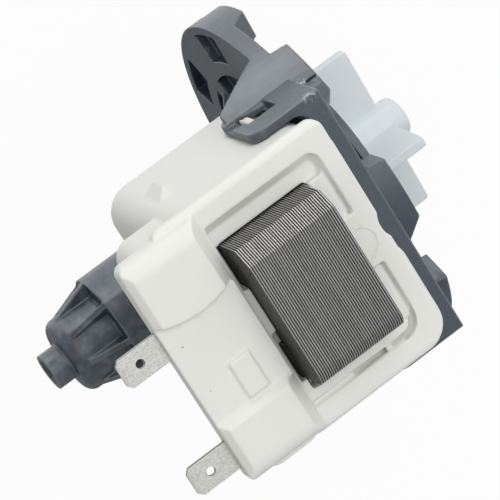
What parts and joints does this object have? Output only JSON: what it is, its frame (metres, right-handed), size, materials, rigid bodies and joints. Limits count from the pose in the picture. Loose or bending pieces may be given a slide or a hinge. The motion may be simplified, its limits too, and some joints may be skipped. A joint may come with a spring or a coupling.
{
  "type": "washer drain pump",
  "caption": "Washing machine drain pump: magnet rotor in a moulded can, laminated stator with sealed coils and push-on tabs, lugged mounting flange and open-blade impeller.",
  "frame": {"origin": "on the rotor axis, in the plane of the mounting flange's front face", "axes": "+X along the rotor axis towards the impeller, +Z from the rotor axis up to the stator yoke, +Y to the snap arm side that shows in the picture"},
  "size_m": [0.0902, 0.0788, 0.0993],
  "materials": {
    "housing": "moulded slate-grey plastic",
    "resin": "off-white moulded resin",
    "lamination": "varnished electrical steel",
    "tin": "tinned brass",
    "copper": "enamelled copper wire",
    "former": "moulded plastic",
    "rubber": "soft black rubber",
    "bronze": "sintered bronze",
    "shaft_steel": "ground steel",
    "ferrite": "sintered ferrite",
    "frost": "milky translucent plastic"
  },
  "bodies": {
    "motor_body": {"rotor_housing": "housing", "spigot_seal": "rubber", "lamination_stack": "lamination", "core_rivets": "shaft_steel", "coil_overmould": "resin", "left_bobbin": "former", "right_bobbin": "former", "left_winding": "copper", "right_winding": "copper", "left_terminal": "tin", "right_terminal": "tin", "thermal_cutout": "former", "bearing_holder": "housing", "front_bush": "bronze", "front_cushion": "rubber", "rear_bush": "bronze", "rear_cushion": "rubber", "shaft_seal": "rubber"},
    "rotor": {"rotor_shaft": "shaft_steel", "rotor_magnet": "ferrite", "magnet_carrier": "former", "front_washer": "shaft_steel", "rear_washer": "shaft_steel", "drive_dog": "former"},
    "impeller": {"impeller": "frost", "coupling_cover": "frost", "dog_dampers": "rubber"}
  },
  "joints": [
    {"name": "rotor_spin", "type": "hinge", "parent": "motor_body", "child": "rotor", "pos_m": [0, 0, 0], "axis": [1, 0, 0], "continuous": true},
    {"name": "impeller_free_play", "type": "hinge", "parent": "rotor", "child": "impeller", "pos_m": [0, 0, 0], "axis": [1, 0, 0], "range_deg": [-90, 90]}
  ]
}
